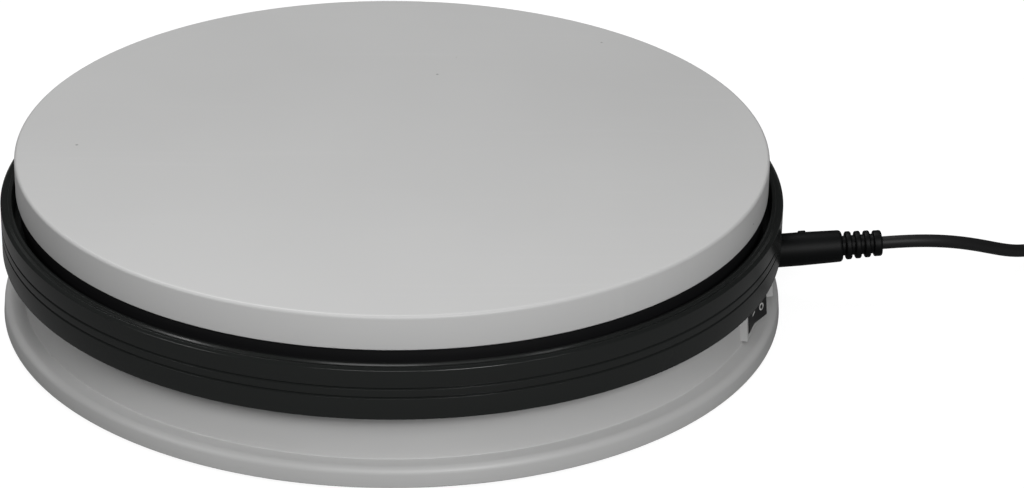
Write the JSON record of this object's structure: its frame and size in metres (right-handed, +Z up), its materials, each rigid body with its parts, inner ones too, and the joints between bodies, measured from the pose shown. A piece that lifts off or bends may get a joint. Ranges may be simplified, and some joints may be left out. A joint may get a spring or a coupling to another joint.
{
  "type": "rotating display turntable",
  "caption": "Round motorised display stand: a plate turns on a ring housing over a flanged base with a rocker switch, power socket, plug and coiled lead.",
  "frame": {"origin": "on the floor under the turning axis, at the underside of the feet", "axes": "+Z up along the turning axis; +X towards the power socket; +Y across, away from the side that shows the switch"},
  "size_m": [0.3258, 0.2464, 0.0448],
  "materials": {
    "pale_plastic": "satin moulded",
    "plate_plastic": "satin, fine specks",
    "black_plastic": "polished moulded",
    "tray_plastic": "moulded",
    "gear_plastic": "natural acetal",
    "steel": "ground",
    "zinc_screws": "zinc plated",
    "brass": "plain",
    "motor_metal": "plated can",
    "switch_plastic": "fine grain",
    "board": "lacquered",
    "rubber": "matt",
    "cord_jacket": "satin",
    "plug_plastic": "satin moulded",
    "nickel": "nickel plated"
  },
  "bodies": {
    "base": {"base_shell": "pale_plastic", "rubber_feet": "rubber", "ring_housing": "black_plastic", "housing_screws": "zinc_screws", "spindle": "steel", "retaining_clip": "steel", "gear_pin": "steel", "motor_can": "motor_metal", "motor_wire_block": "switch_plastic", "motor_screws": "zinc_screws", "switch_housing": "switch_plastic", "switch_terminals": "brass", "power_socket": "switch_plastic", "socket_pin": "nickel", "plug_barrel": "nickel", "plug_body": "plug_plastic", "strain_relief": "plug_plastic", "control_board": "board", "board_components": "switch_plastic", "board_screws": "zinc_screws", "power_cord": "cord_jacket", "cord_coil": "cord_jacket", "cord_tie": "rubber", "cord_tail": "cord_jacket", "usb_relief": "plug_plastic", "usb_body": "plug_plastic", "usb_metal_shell": "nickel", "usb_tongue": "pale_plastic"},
    "platter": {"top_plate": "plate_plastic", "platter_tray": "tray_plastic", "ring_gear": "gear_plastic", "hub_bush": "brass", "plate_screws": "zinc_screws"},
    "cluster": {"cluster_gear": "gear_plastic"},
    "pinion": {"drive_pinion": "brass", "motor_shaft": "steel"},
    "rocker": {"switch_rocker": "switch_plastic"},
    "roller_1": {"support_roller_1": "gear_plastic"},
    "roller_2": {"support_roller_2": "gear_plastic"},
    "roller_3": {"support_roller_3": "gear_plastic"},
    "roller_4": {"support_roller_4": "gear_plastic"},
    "roller_5": {"support_roller_5": "gear_plastic"},
    "roller_6": {"support_roller_6": "gear_plastic"}
  },
  "joints": [
    {"name": "platter_spin", "type": "hinge", "parent": "base", "child": "platter", "pos_m": [0, 0, 0.032], "axis": [0, 0, 1], "continuous": true},
    {"name": "cluster_spin", "type": "hinge", "parent": "base", "child": "cluster", "pos_m": [-0.03897, 0.0225, 0.0295], "axis": [0, 0, 1], "continuous": true},
    {"name": "pinion_spin", "type": "hinge", "parent": "base", "child": "pinion", "pos_m": [-0.0336, -0.00294, 0.0275], "axis": [0, 0, 1], "continuous": true},
    {"name": "rocker_tilt", "type": "hinge", "parent": "base", "child": "rocker", "pos_m": [0.08893, -0.0289, 0.01193], "axis": [-0.0663, 0.0216, 0.9976], "range_deg": [0, 18]},
    {"name": "roller_1_spin", "type": "hinge", "parent": "base", "child": "roller_1", "pos_m": [0.08, 0, 0.0294], "axis": [1, 0, 0], "continuous": true},
    {"name": "roller_2_spin", "type": "hinge", "parent": "base", "child": "roller_2", "pos_m": [0.04, 0.06928, 0.0294], "axis": [0.5, 0.866, 0], "continuous": true},
    {"name": "roller_3_spin", "type": "hinge", "parent": "base", "child": "roller_3", "pos_m": [-0.04, 0.06928, 0.0294], "axis": [-0.5, 0.866, 0], "continuous": true},
    {"name": "roller_4_spin", "type": "hinge", "parent": "base", "child": "roller_4", "pos_m": [-0.08, 0, 0.0294], "axis": [-1, 0, 0], "continuous": true},
    {"name": "roller_5_spin", "type": "hinge", "parent": "base", "child": "roller_5", "pos_m": [-0.04, -0.06928, 0.0294], "axis": [-0.5, -0.866, 0], "continuous": true},
    {"name": "roller_6_spin", "type": "hinge", "parent": "base", "child": "roller_6", "pos_m": [0.04, -0.06928, 0.0294], "axis": [0.5, -0.866, 0], "continuous": true}
  ],
  "couplings": [
    {"joint": "cluster_spin", "follows": "platter_spin", "ratio": 6},
    {"joint": "pinion_spin", "follows": "platter_spin", "ratio": -20},
    {"joint": "roller_1_spin", "follows": "platter_spin", "ratio": -25},
    {"joint": "roller_2_spin", "follows": "platter_spin", "ratio": -25},
    {"joint": "roller_3_spin", "follows": "platter_spin", "ratio": -25},
    {"joint": "roller_4_spin", "follows": "platter_spin", "ratio": -25},
    {"joint": "roller_5_spin", "follows": "platter_spin", "ratio": -25},
    {"joint": "roller_6_spin", "follows": "platter_spin", "ratio": -25}
  ]
}
